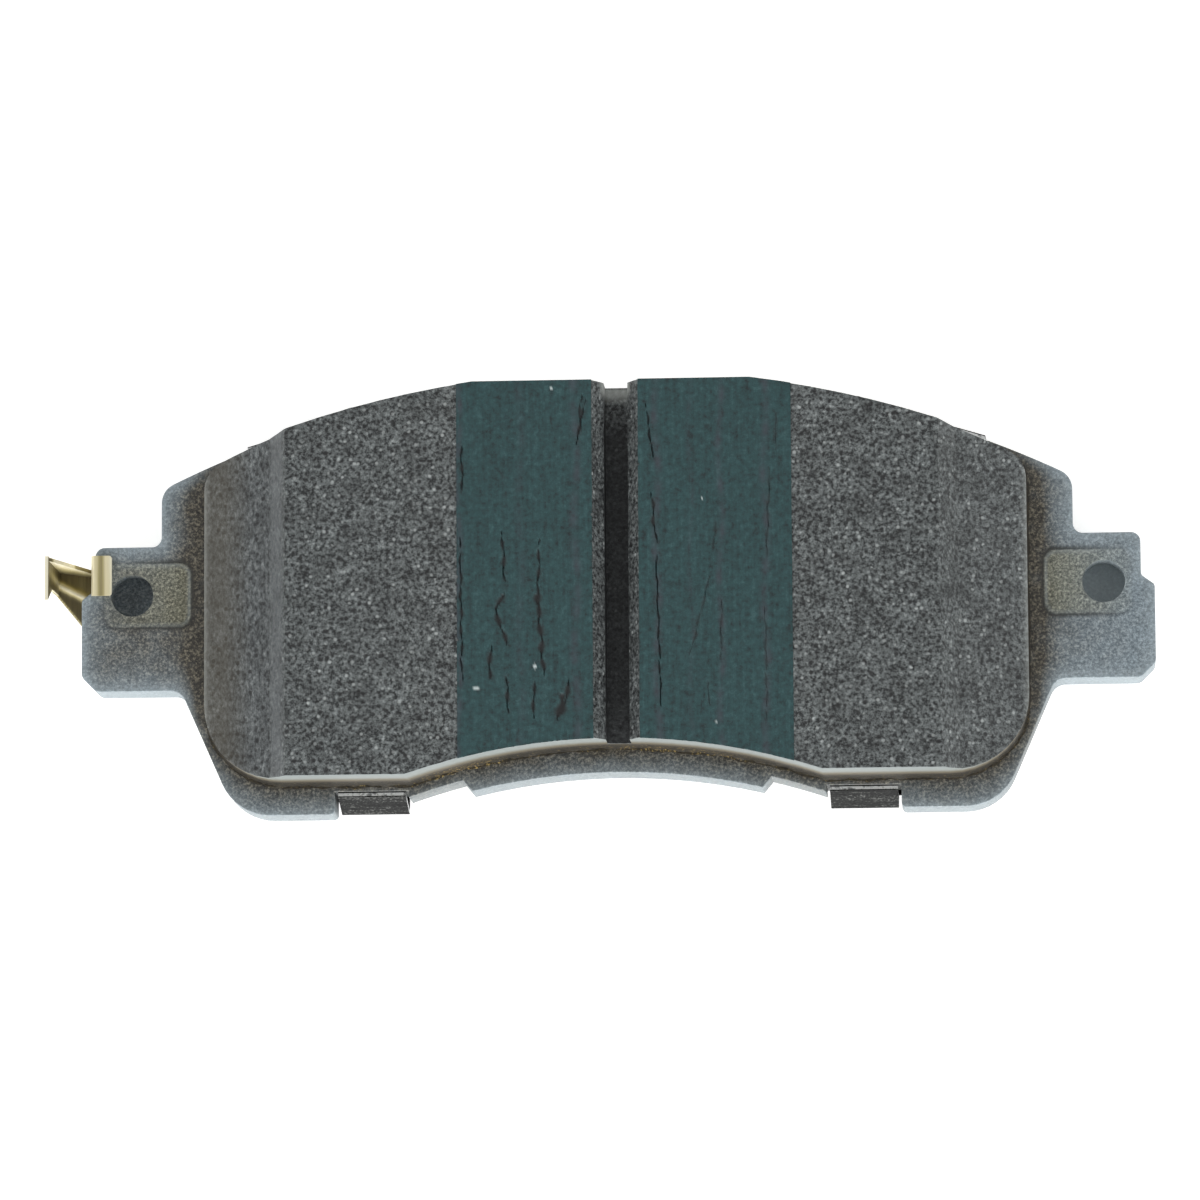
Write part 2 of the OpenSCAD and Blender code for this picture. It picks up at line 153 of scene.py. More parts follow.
def cut_rows(piece, axis, places):
    """Cuts a piece's faces across at places along an axis."""
    pick(piece)
    bpy.ops.object.mode_set(mode="EDIT")
    direction = [1.0 if i == axis else 0.0 for i in range(3)]
    for place in places:
        bpy.ops.mesh.select_all(action="SELECT")
        point = [place if i == axis else 0.0 for i in range(3)]
        bpy.ops.mesh.bisect(plane_co=point, plane_no=direction, threshold=2e-6)
    bpy.ops.object.mode_set(mode="OBJECT")


def spaced(low, high, step):
    """Places between two ends, about a step apart, without the ends."""
    count = max(1, round((high - low) / step))
    return [low + (high - low) * i / count for i in range(1, count)]


def points_of(piece):
    """The vertices of a piece as an array."""
    places = np.empty(len(piece.data.vertices) * 3, np.float32)
    piece.data.vertices.foreach_get("co", places)
    return places.reshape(-1, 3)


def ramp(value, start, length):
    """Rises from 0 to 1 over a length from its start, and stays there."""
    return min(1.0, max(0.0, (value - start) / length))


def normals_of(piece):
    """The vertex normals of a piece as an array."""
    normals = np.empty(len(piece.data.vertices) * 3, np.float32)
    piece.data.vertex_normals.foreach_get("vector", normals)
    return normals.reshape(-1, 3)


def set_points(piece, places):
    """Moves the vertices of a piece to an array of places."""
    piece.data.vertices.foreach_set("co", places.astype(np.float32).ravel())
    piece.data.update()


def set_attribute(piece, name, values):
    """Stores one number for each vertex, which the piece's material reads."""
    attribute = piece.data.attributes.new(name, "FLOAT", "POINT")
    attribute.data.foreach_set("value", np.asarray(values, np.float32))


def apply_modifiers(piece):
    """Applies every modifier of a piece."""
    pick(piece)
    for modifier in list(piece.modifiers):
        bpy.ops.object.modifier_apply(modifier=modifier.name)


def emboss(piece, group, kind, grain, depth, middle, contrast=1.0):
    """Presses a procedural pattern into a vertex group of a piece."""
    texture = bpy.data.textures.new(kind.lower(), kind)
    texture.noise_scale = grain
    texture.contrast = contrast
    modifier = piece.modifiers.new("emboss", "DISPLACE")
    modifier.texture = texture
    modifier.texture_coords = "LOCAL"
    modifier.strength = depth
    modifier.mid_level = middle
    modifier.vertex_group = group
    apply_modifiers(piece)


def finish_piece(piece, body, node, material, angle=30):
    """Smooths a piece, gives it its material and ties it to the frame."""
    pick(piece)
    bpy.ops.object.shade_smooth_by_angle(angle=math.radians(angle))
    piece.data.materials.clear()
    piece.data.materials.append(material)
    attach(piece, body)
    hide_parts(node)


# ---- materials ----

def tint(code):
    """An sRGB hex colour as the linear colour that a shader takes."""
    channels = [int(code[i:i + 2], 16) / 255 for i in (1, 3, 5)]
    linear = [c / 12.92 if c <= 0.04045 else ((c + 0.055) / 1.055) ** 2.4 for c in channels]
    return (*linear, 1.0)


def per_metre(size):
    """The scale of a pattern whose features are a given size in millimetres."""
    return 1000.0 / size


def add(tree, kind, inputs=None, stops=(), **settings):
    """Adds a node, with its settings, and sets or links its inputs."""
    node = tree.nodes.new("ShaderNode" + kind)
    for name, value in settings.items():
        setattr(node, name, value)
    for name, value in (inputs or {}).items():
        if isinstance(value, bpy.types.NodeSocket):
            tree.links.new(value, node.inputs[name])
        else:
            node.inputs[name].default_value = value
    for i, (place, code) in enumerate(stops):
        spot = node.color_ramp.elements[i] if i < 2 else node.color_ramp.elements.new(place)
        spot.position = place
        spot.color = tint(code)
    return node


def new_material(name, metallic, roughness):
    """An empty material: its node tree, its shader and the piece's own coordinates."""
    material = bpy.data.materials.new(name)
    material.use_nodes = True
    tree = material.node_tree
    shader = tree.nodes["Principled BSDF"]
    shader.inputs["Metallic"].default_value = metallic
    shader.inputs["Roughness"].default_value = roughness
    place = add(tree, "TexCoord").outputs["Object"]
    return material, tree, shader, place


def friction_compound():
    """Semi-metallic friction compound, hot pressed and ground flat: a grey resin
    binder with black graphite pits, dark clumps and pale mineral and metal chips.
    The moulded lead-ins are finer, and the side walls are a smooth resin skin."""
    material, tree, shader, place = new_material("friction_compound", 0.0, 0.62)
    grain = add(tree, "TexNoise", {"Vector": place, "Scale": per_metre(0.48), "Detail": 3.0,
                                   "Roughness": 0.75})
    ground = add(tree, "ValToRGB", {"Fac": grain.outputs["Fac"]},
                 stops=((0.33, "#08090a"), (0.74, "#8d9292"), (0.42, "#202324"),
                        (0.49, "#484c4c"), (0.6, "#616666")))
    flow = add(tree, "Mapping", {"Vector": place, "Scale": (1.0, 0.55, 1.0)})
    silt = add(tree, "TexNoise", {"Vector": flow.outputs[0], "Scale": per_metre(0.4),
                                  "Detail": 3.0, "Roughness": 0.75})
    moulded = add(tree, "ValToRGB", {"Fac": silt.outputs["Fac"]},
                  stops=((0.34, "#17191b"), (0.72, "#7c8181"), (0.44, "#3d4142"),
                         (0.56, "#575b5c")))
    lead = add(tree, "Attribute", attribute_name="lead_in")
    base = add(tree, "Mix", {0: lead.outputs["Fac"], 6: ground.outputs[0], 7: moulded.outputs[0]},
               data_type="RGBA")

    holes = add(tree, "TexVoronoi", {"Vector": place, "Scale": per_metre(0.8)})
    which = add(tree, "SeparateColor", {"Color": holes.outputs["Color"]})
    hole = add(tree, "MapRange", {"Value": holes.outputs["Distance"], "From Min": 0.42,
                                  "From Max": 0.22})
    open_hole = add(tree, "MapRange", {"Value": which.outputs["Red"], "From Min": 0.5,
                                       "From Max": 0.8, "To Max": 0.85})
    pit = add(tree, "Math", {0: hole.outputs[0], 1: open_hole.outputs[0]}, operation="MULTIPLY")
    pitted = add(tree, "Mix", {0: pit.outputs[0], 6: base.outputs[2], 7: tint("#101112")},
                 data_type="RGBA")
    chips = add(tree, "TexVoronoi", {"Vector": place, "Scale": per_metre(0.55)})
    bright = add(tree, "SeparateColor", {"Color": chips.outputs["Color"]})
    chip = add(tree, "MapRange", {"Value": chips.outputs["Distance"], "From Min": 0.5,
                                  "From Max": 0.25})
    shiny = add(tree, "MapRange", {"Value": bright.outputs["Green"], "From Min": 0.84,
                                   "From Max": 1.0, "To Max": 0.7})
    fleck = add(tree, "Math", {0: chip.outputs[0], 1: shiny.outputs[0]}, operation="MULTIPLY")
    on_ground = add(tree, "MapRange", {"Value": lead.outputs["Fac"], "To Min": 1.0,
                                       "To Max": 0.35})
    sparse = add(tree, "Math", {0: fleck.outputs[0], 1: on_ground.outputs[0]},
                 operation="MULTIPLY")
    flecked = add(tree, "Mix", {0: sparse.outputs[0], 6: pitted.outputs[2], 7: tint("#a5aaa9")},
                  data_type="RGBA")

    clumps = add(tree, "TexNoise", {"Vector": place, "Scale": per_metre(3.2), "Detail": 3.0})
    patch = add(tree, "MapRange", {"Value": clumps.outputs["Fac"], "From Min": 0.34,
                                   "From Max": 0.6, "To Min": 0.72, "To Max": 1.12})
    blotchy = add(tree, "Mix", {0: 1.0, 6: flecked.outputs[2], 7: patch.outputs[0]},
                  data_type="RGBA", blend_type="MULTIPLY")

    facet = add(tree, "Attribute", attribute_name="facet")
    plain = add(tree, "Mix", {0: facet.outputs["Fac"], 6: blotchy.outputs[2],
                              7: tint("#64686a")}, data_type="RGBA")
    height = add(tree, "SeparateXYZ", {"Vector": place})
    up_wall = add(tree, "MapRange", {"Value": height.outputs["Z"], "From Min": LINING_FOOT,
                                     "From Max": LINING_FACE})
    skin = add(tree, "ValToRGB", {"Fac": up_wall.outputs[0]},
               stops=((0.0, "#2c271e"), (1.0, "#6f7676"), (0.25, "#57503f"), (0.55, "#757a77")))
    wall = add(tree, "Attribute", attribute_name="wall")
    walled = add(tree, "Mix", {0: wall.outputs["Fac"], 6: plain.outputs[2], 7: skin.outputs[0]},
                 data_type="RGBA")
    brown = add(tree, "Attribute", attribute_name="browned")
    browned = add(tree, "Mix", {0: brown.outputs["Fac"], 6: walled.outputs[2],
                                7: tint("#494335")}, data_type="RGBA")
    # Painted highlight on the rounded edges, and painted light on the slot's floor near its upper
    # end
    edge = add(tree, "Attribute", attribute_name="edge")
    rolled = add(tree, "Mix", {0: edge.outputs["Fac"], 6: browned.outputs[2],
                               7: tint("#b4b8b3")}, data_type="RGBA")
    slot = add(tree, "Attribute", attribute_name="slot_shade")
    dark = add(tree, "Mix", {0: slot.outputs["Fac"], 6: rolled.outputs[2], 7: tint("#16181a")},
               data_type="RGBA")
    tree.links.new(dark.outputs[2], shader.inputs["Base Color"])
    sunk = add(tree, "Math", {0: pit.outputs[0], 1: -0.8, 2: grain.outputs["Fac"]},
               operation="MULTIPLY_ADD")
    flat_wall = add(tree, "MapRange", {"Value": wall.outputs["Fac"], "To Min": 0.6,
                                       "To Max": 0.1})
    bump = add(tree, "Bump", {"Height": sunk.outputs[0], "Strength": flat_wall.outputs[0],
                              "Distance": 0.14 * MM})
    tree.links.new(bump.outputs[0], shader.inputs["Normal"])
    return material


def bedding_coat():
    """Water-based bedding-in paint, rolled on: thin, matt and teal, with fine
    roller streaks, worn to violet-grey in places, split along its fissures, and
    with a few painted glints."""
    material, tree, shader, place = new_material("bedding_coat", 0.0, 0.6)
    mottle = add(tree, "TexNoise", {"Vector": place, "Scale": per_metre(0.7), "Detail": 5.0,
                                    "Roughness": 0.8})
    long_way = add(tree, "Mapping", {"Vector": place, "Scale": (1.0, 0.06, 1.0)})
    rolled = add(tree, "TexNoise", {"Vector": long_way.outputs[0], "Scale": per_metre(0.6),
                                    "Detail": 3.0, "Roughness": 0.7})
    shade = add(tree, "Math", {0: rolled.outputs["Fac"], 1: 0.4, 2: mottle.outputs["Fac"]},
                operation="MULTIPLY_ADD")
    colour = add(tree, "ValToRGB", {"Fac": shade.outputs[0]},
                 stops=((0.52, "#0c1c1e"), (0.88, "#2c4b4d"), (0.62, "#183335"),
                        (0.7, "#1b3a3c"), (0.78, "#1f4042")))
    thin = add(tree, "Attribute", attribute_name="worn")
    streaked = add(tree, "Mix", {0: thin.outputs["Fac"], 6: colour.outputs[0],
                                 7: tint("#3b3943")}, data_type="RGBA")
    fissure = add(tree, "Attribute", attribute_name="fissure")
    opened = add(tree, "Mix", {0: fissure.outputs["Fac"], 6: streaked.outputs[2],
                               7: tint("#04080a")}, data_type="RGBA")
    # Painted glints: small pale spots mixed into the paint's colour
    glint = add(tree, "Attribute", attribute_name="glint")
    glinted = add(tree, "Mix", {0: glint.outputs["Fac"], 6: opened.outputs[2],
                                7: tint("#c4cfce")}, data_type="RGBA")
    tree.links.new(glinted.outputs[2], shader.inputs["Base Color"])
    bump = add(tree, "Bump", {"Height": shade.outputs[0], "Strength": 0.5,
                              "Distance": 0.08 * MM})
    tree.links.new(bump.outputs[0], shader.inputs["Normal"])
    return material


def powder_coat():
    """Grey powder coat, sprayed and baked on steel: blue-grey with a fine orange
    peel, browned by binder fumes and darkened by painted shade close to the lining,
    with a painted highlight along its rim and just inside the pocket's edge, and
    painted shadow in the pocket's crease."""
    material, tree, shader, place = new_material("powder_coat", 0.0, 0.5)
    speckle = add(tree, "TexNoise", {"Vector": place, "Scale": per_metre(0.34), "Detail": 2.0,
                                     "Roughness": 0.85})
    clean = add(tree, "ValToRGB", {"Fac": speckle.outputs["Fac"]},
                stops=((0.3, "#4c565c"), (0.7, "#97a3a9"), (0.5, "#707c83")))
    soot_and_shade_tone = add(tree, "ValToRGB", {"Fac": speckle.outputs["Fac"]},
                stops=((0.3, "#121110"), (0.7, "#7e7868"), (0.5, "#3f3c35")))
    cloud = add(tree, "TexNoise", {"Vector": place, "Scale": per_metre(2.0), "Detail": 4.0})
    # Soot mixed with painted shade, thickest at the lining's foot and in the recesses
    near = add(tree, "Attribute", attribute_name="soot_and_shade")
    patchy = add(tree, "Math", {0: cloud.outputs["Fac"], 1: 0.5}, operation="SUBTRACT")
    spread = add(tree, "Math", {0: patchy.outputs[0], 1: 0.5, 2: near.outputs["Fac"]},
                 operation="MULTIPLY_ADD", use_clamp=True)
    soot_and_shade_mix = add(tree, "Mix", {0: spread.outputs[0], 6: clean.outputs[0], 7: soot_and_shade_tone.outputs[0]},
                 data_type="RGBA")
    coined = add(tree, "Attribute", attribute_name="coined")
    bronzed = add(tree, "ValToRGB", {"Fac": speckle.outputs["Fac"]},
                  stops=((0.3, "#3c3c31"), (0.7, "#a9a993"), (0.5, "#6e6e5c")))
    olive = add(tree, "Mix", {0: coined.outputs["Fac"], 6: soot_and_shade_mix.outputs[2],
                              7: bronzed.outputs[0]}, data_type="RGBA")
    # Painted shadow in the pocket's crease
    crease_shade = add(tree, "Attribute", attribute_name="crease_shade")
    crease_shaded = add(tree, "Mix", {0: crease_shade.outputs["Fac"], 6: olive.outputs[2],
                                7: tint("#22221e")}, data_type="RGBA")
    # Painted highlight: the rim, the walls and the pocket's inner edge are mixed towards a pale
    # blue-grey
    rim = add(tree, "Attribute", attribute_name="rim")
    colour = add(tree, "Mix", {0: rim.outputs["Fac"], 6: crease_shaded.outputs[2],
                               7: tint("#a3adb0")}, data_type="RGBA")
    tree.links.new(colour.outputs[2], shader.inputs["Base Color"])
    bump = add(tree, "Bump", {"Height": speckle.outputs["Fac"], "Strength": 0.5,
                              "Distance": 0.06 * MM})
    tree.links.new(bump.outputs[0], shader.inputs["Normal"])
    return material


def brassy_glue(name, dark, middle, gold):
    """Phenolic glue and bonding compound, squeezed out as the pad is pressed: dark
    brown resin, with flecks of brass where it is gilt."""
    material, tree, shader, place = new_material(name, 0.0, 0.5)
    flecks = add(tree, "TexNoise", {"Vector": place, "Scale": per_metre(0.3), "Detail": 2.0,
                                    "Roughness": 0.6})
    gilt = add(tree, "Attribute", attribute_name="gilt")
    level = add(tree, "Math", {0: gilt.outputs["Fac"], 1: 0.12, 2: flecks.outputs["Fac"]},
                operation="MULTIPLY_ADD")
    colour = add(tree, "ValToRGB", {"Fac": level.outputs[0]},
                 stops=((0.36, dark), (0.78, gold), (0.58, middle), (0.66, middle)))
    tree.links.new(colour.outputs[0], shader.inputs["Base Color"])
    bump = add(tree, "Bump", {"Height": flecks.outputs["Fac"], "Strength": 0.6,
                              "Distance": 0.15 * MM})
    tree.links.new(bump.outputs[0], shader.inputs["Normal"])
    return material


def spring_steel():
    """Spring steel, zinc plated and yellow passivated, with painted reflections: pale
    gold where it would mirror the bright floor and lamps, dull bronze as painted shade
    and reflected dark on faces turned to the camera and in its hollows. The passivated
    film scatters half of the light, so the metal is half hidden under it."""
    material, tree, shader, place = new_material("zinc_yellow_spring_steel", 0.5, 0.38)
    lines = add(tree, "Mapping", {"Vector": place, "Scale": (1.0, 0.08, 1.0)})
    rolled = add(tree, "TexNoise", {"Vector": lines.outputs[0], "Scale": per_metre(0.5),
                                    "Detail": 3.0})
    level = add(tree, "Math", {0: rolled.outputs["Fac"], 1: 0.5}, operation="SUBTRACT")
    # Painted reflections and painted shade, read from the piece's own attribute
    painted_sheen = add(tree, "Attribute", attribute_name="sheen_and_shade")
    shade = add(tree, "Math", {0: level.outputs[0], 1: 0.25, 2: painted_sheen.outputs["Fac"]},
                operation="MULTIPLY_ADD", use_clamp=True)
    colour = add(tree, "ValToRGB", {"Fac": shade.outputs[0]},
                 stops=((0.0, "#3f382a"), (1.0, "#f4eed6"), (0.3, "#6b6245"), (0.6, "#b5aa7c"),
                        (0.8, "#e2d8b0")))
    tree.links.new(colour.outputs[0], shader.inputs["Base Color"])
    return material


def shim_rubber():
    """Nitrile rubber, rolled onto the shim's steel: near-black satin with a fine
    grain and light scuffs."""
    material, tree, shader, place = new_material("shim_rubber", 0.0, 0.62)
    shader.inputs["Specular IOR Level"].default_value = 0.14
    grain = add(tree, "TexNoise", {"Vector": place, "Scale": per_metre(0.3), "Detail": 3.0})
    scuffs = add(tree, "Mapping", {"Vector": place, "Scale": (0.12, 1.0, 1.0)})
    scuff = add(tree, "TexNoise", {"Vector": scuffs.outputs[0], "Scale": per_metre(1.6),
                                   "Detail": 4.0, "Roughness": 0.7})
    shade = add(tree, "Math", {0: grain.outputs["Fac"], 1: scuff.outputs["Fac"]},
                operation="MULTIPLY")
    colour = add(tree, "ValToRGB", {"Fac": shade.outputs[0]},
                 stops=((0.17, "#020303"), (0.36, "#565755"), (0.24, "#101111"), (0.3, "#222322")))
    tree.links.new(colour.outputs[0], shader.inputs["Base Color"])
    bump = add(tree, "Bump", {"Height": scuff.outputs["Fac"], "Strength": 0.6,
                              "Distance": 0.12 * MM})
    tree.links.new(bump.outputs[0], shader.inputs["Normal"])
    return material


def sheared_steel():
    """Cold rolled steel sheet: its sheared edges show bright between the rubber."""
    material, tree, shader, place = new_material("sheared_steel", 0.6, 0.6)
    tear = add(tree, "TexNoise", {"Vector": place, "Scale": per_metre(0.6), "Detail": 3.0})
    colour = add(tree, "ValToRGB", {"Fac": tear.outputs["Fac"]},
                 stops=((0.35, "#8f9192"), (0.5, "#f4f6f6")))
    tree.links.new(colour.outputs[0], shader.inputs["Base Color"])
    return material


# ---- pieces ----

def over_pocket(x, y):
    """Whether a place lies on the part of an ear that its pocket takes up."""
    return PAD_END - ZONE_INNER < abs(x) < PAD_END - ZONE_OUTER and abs(y) < ZONE_HALF


def near_hole(place, reach):
    """Whether a place is within reach of the middle of a moulding hole."""
    return any(math.dist(place, hole) < reach for hole in MOULD_HOLES)


def make_plate():
    """The pressed plate: rolled front edges, burnished back edges, soft coining."""
    plate = copy_of("backing_plate", "pressed_plate")
    front_round, hollow_round, back_round = 0.7 * MM, 0.12 * MM, 0.25 * MM
    hollow_deep = 0.6 * MM

    def front_rim(middle, ends, normals):
        flat = all(abs(e.z - PLATE_FRONT) < ON_PLANE for e in ends)
        on_outline = not over_pocket(middle.x, middle.y) and not near_hole(middle.xy, HOLE_RIM)
        return flat and on_outline

    def hollow_rim(middle, ends, normals):
        depth = PLATE_FRONT - middle.z
        return -ON_PLANE < depth < hollow_deep and not front_rim(middle, ends, normals)

    def back_rim(middle, ends, normals):
        return all(abs(e.z - PLATE_BACK) < ON_PLANE for e in ends)

    bevel_edges(plate, front_round, 4, front_rim)
    bevel_edges(plate, hollow_round, 2, hollow_rim)
    bevel_edges(plate, back_round, 2, back_rim)

    # A coarse grid for the stains, and a fine one over the ears' pockets
    low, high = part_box("backing_plate")
    coarse, fine, margin, half_strip = 1.2 * MM, 0.3 * MM, 0.8, 5.0 * MM
    cut_rows(plate, 0, spaced(low.x, high.x, coarse))
    cut_rows(plate, 1, spaced(low.y, high.y, coarse))
    across = spaced((POCKET_INNER - margin) * MM, PAD_END, fine)
    cut_rows(plate, 0, across + [-place for place in across])
    cut_rows(plate, 1, spaced(-half_strip, half_strip, fine))
    return plate


def plate_outline(places, normals):
    """A tree of the points on the upper part of the plate's outer walls."""
    upper = places[:, 2] > PLATE_FRONT - 2.0 * MM
    walls = np.nonzero((np.abs(normals[:, 2]) < 0.5) & upper)[0]
    outline = kdtree.KDTree(len(walls))
    for i in walls:
        x, y = places[i][:2]
        if not over_pocket(x, y) and not near_hole((x, y), HOLE_WALL):
            outline.insert((x, y, 0.0), int(i))
    outline.balance()
    return outline


def stain_at(lining, outline, x, y, z):
    """How much soot and painted shade, and how much painted rim highlight, the plate has at a
    place, each from 0 to 1.
    """
    _, spot, _, _ = lining.closest_point_on_mesh(Vector((x, y, LINING_FOOT)))
    away = math.dist(spot.xy, (x, y)) / MM
    edge = outline.find((x, y, 0.0))[2] / MM
    sunk = z < PLATE_FRONT - 1.0 * MM
    in_recess = math.dist((abs(x), y), (BOSS_OUT, 0.0)) < BOSS_ROUND
    # The round recesses' floors: painted shade on the left one, and less shade with a painted
    # highlight on the right one
    if sunk and z > PLATE_FRONT - RECESS_DEEP and in_recess:
        return (0.3, 0.0) if x < 0 else (0.1, 0.6)

    # Soot and painted shade are thick at the lining's foot, and reach further from it along the
    # lower edge
    reach = 2.2 + 0.7 * ramp(-y / MM, 16, 3)
    near = math.exp(-((away / reach) ** 1.5))
    # Below the front face: soot and painted shade near the lining, and a faint painted highlight on
    # the walls
    if sunk:
        return min(1.0, near), 0.25

    # A thin dark film covers the left ear, and fades over 6 mm on the right one
    film = 0.75 if x < 0 else 0.75 * math.exp(-away / 6)
    far = 0.05 + ramp(y / MM, -21, 5) * film
    # A painted highlight runs along the plate's outline and fades over 0.9 mm; the dark film fades
    # towards the outline over 1.8 mm
    film_fade, rim_fade = 1.8, 0.9
    soot_and_shade = min(1.0, far * (1 - math.exp(-edge / film_fade)) + near)
    return soot_and_shade, 0.3 * math.exp(-edge / rim_fade) * (1 - near)


def stain_plate(plate, lining):
    """Marks where the plate is browned and shaded, where it is coined, and where it gets a painted
    highlight or painted shadow at its rim and its pocket.
    """
    places, normals = points_of(plate), normals_of(plate)
    outline = plate_outline(places, normals)
    soot_and_shade, rim = zip(*[stain_at(lining, outline, x, y, z) for x, y, z in places])
    x, y, z = places.T / MM
    level = z > PLATE_FRONT / MM - 0.5
    from_pocket = pocket_distance(x, y)
    outward = (np.abs(x) - POCKET_INNER) / POCKET_LONG
    fresh = np.clip(1.2 - outward, 0, 1) * level
    # A painted highlight just inside the pocket's edge
    pocket_edge_highlight = 0.3 * np.exp(-((from_pocket + 0.4) / 0.2) ** 2) * fresh
    set_attribute(plate, "soot_and_shade", soot_and_shade)
    set_attribute(plate, "rim", np.maximum(rim, pocket_edge_highlight))
    set_attribute(plate, "coined", 0.6 * np.clip(-from_pocket / 0.3, 0, 1) * fresh)
    # Painted shadow in the pocket's crease, along its outline
    set_attribute(plate, "crease_shade", 0.9 * np.exp(-((from_pocket - 0.05) / 0.22) ** 2) * fresh)


def pocket_distance(x, y):
    """Distance from the pocket's outline in millimetres, below 0 inside it."""
    from_middle = np.abs(np.abs(x) - POCKET_INNER - POCKET_LONG / 2)
    past_x = from_middle - POCKET_LONG / 2 + POCKET_ROUND
    past_y = np.abs(y) - POCKET_HIGH / 2 + POCKET_ROUND
    outside = np.hypot(np.maximum(past_x, 0), np.maximum(past_y, 0))
    return outside + np.minimum(np.maximum(past_x, past_y), 0) - POCKET_ROUND


def make_lining():
    """The ground lining: a fine grid over its shape, pitted by its grains."""
    lining = copy_of("friction_lining", "ground_lining")

    edge_round, foot_band = 0.25 * MM, 0.5 * MM

    def upper_edge(middle, ends, normals):
        outer = any(abs(n.z) < 0.3 for n in normals) and any(n.z > 0.5 for n in normals)
        in_slot = abs(middle.x - SLOT_MIDDLE) < SLOT_HALF * MM
        return outer and middle.z > LINING_FOOT + foot_band and not in_slot

    bevel_edges(lining, edge_round, 2, upper_edge)

    # Columns are close together under the painted bands, which hold the fissures
    low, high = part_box("friction_lining")
    coarse, fine, row = 0.42 * MM, 0.14 * MM, 0.32 * MM
    columns = spaced(low.x, COAT_LEFT[0], coarse) + spaced(COAT_LEFT[0], COAT_LEFT[1], fine)
    columns += spaced(COAT_LEFT[1], COAT_RIGHT[0], coarse)
    columns += spaced(COAT_RIGHT[0], COAT_RIGHT[1], fine) + spaced(COAT_RIGHT[1], high.x, coarse)
    columns += [COAT_LEFT[0], COAT_LEFT[1], COAT_RIGHT[0], COAT_RIGHT[1]]
    cut_rows(lining, 0, columns)
    cut_rows(lining, 1, spaced(low.y, high.y, row))
    wall_rows = (0.7, 1.9, 3.1, 4.2, 5.3, 6.3)
    cut_rows(lining, 2, [LINING_FOOT + height * MM for height in wall_rows])
    places, normals = points_of(lining), normals_of(lining)
    rough = lining.vertex_groups.new(name="rough")
    rough.add(np.nonzero(normals[:, 2] > 0.9)[0].tolist(), 1.0, "REPLACE")
    emboss(lining, "rough", "CLOUDS", grain=0.5 * MM, depth=0.07 * MM, middle=0.5)
    emboss(lining, "rough", "VORONOI", grain=0.9 * MM, depth=0.09 * MM, middle=0.55,
           contrast=1.6)
    mark_lining(lining, places / MM, normals)
    open_fissures(lining)
    return lining


def mark_lining(lining, places, normals):
    """Marks the lining's walls, lead-ins and slot, where it is browned, and where it gets painted
    shade and painted highlights.
    """
    x, y, z = places.T
    across = np.abs(x - SLOT_MIDDLE / MM)
    depth = LINING_FACE / MM - z
    face, below_bevels = depth < 0.5, depth > 2.0
    wall = np.clip((0.6 - normals[:, 2]) / 0.4, 0, 1)
    in_slot = (across < BEVELS_HALF) & (np.abs(normals[:, 1]) < 0.5)
    set_attribute(lining, "wall", np.where(in_slot, 0, wall))

    # The left lead-in is as moulded, and the right one is nearly as rough as the face
    lead = np.clip((np.abs(x) - LEAD_START) / 0.6, 0, 1) * np.where(x < 0, 1.0, 0.12)
    set_attribute(lining, "lead_in", lead)
    set_attribute(lining, "facet", 0.42 * np.exp(-((x + FACET_MIDDLE) / 0.85) ** 4))
    set_attribute(lining, "browned", 0.5 * np.clip((-x - BROWN_START) / 3.5, 0, 1) * ~face)

    # The slot is dark in its depth, and lit near its open upper end
    lit = np.clip((y - 17.5) / 5, 0, 0.9)
    shade = np.clip((depth - 2.0) / 1.5, 0, 0.8) * (1 - lit)
    set_attribute(lining, "slot_shade", np.where(in_slot & below_bevels, shade, 0))

    # Painted highlight on the rolled outline below the upper edge, faint along the lower one, and
    # painted light on the slot's floor at its open upper end
    outline = (np.abs(normals[:, 1]) > 0.25) | (np.abs(x) > LINING_END)
    away_from_slot = across > BEVELS_HALF + 0.2
    rolled = np.clip(1 - np.abs(normals[:, 2] - 0.65) / 0.3, 0, 1) * away_from_slot * outline
    lit_slot_end = np.clip((y - 22.0) / 1.2, 0, 1) * (in_slot & below_bevels)
    rolled = rolled * (y < 15) * np.where(normals[:, 1] < -0.5, 0.1, 0.85)
    set_attribute(lining, "edge", np.maximum(rolled, 0.55 * lit_slot_end))


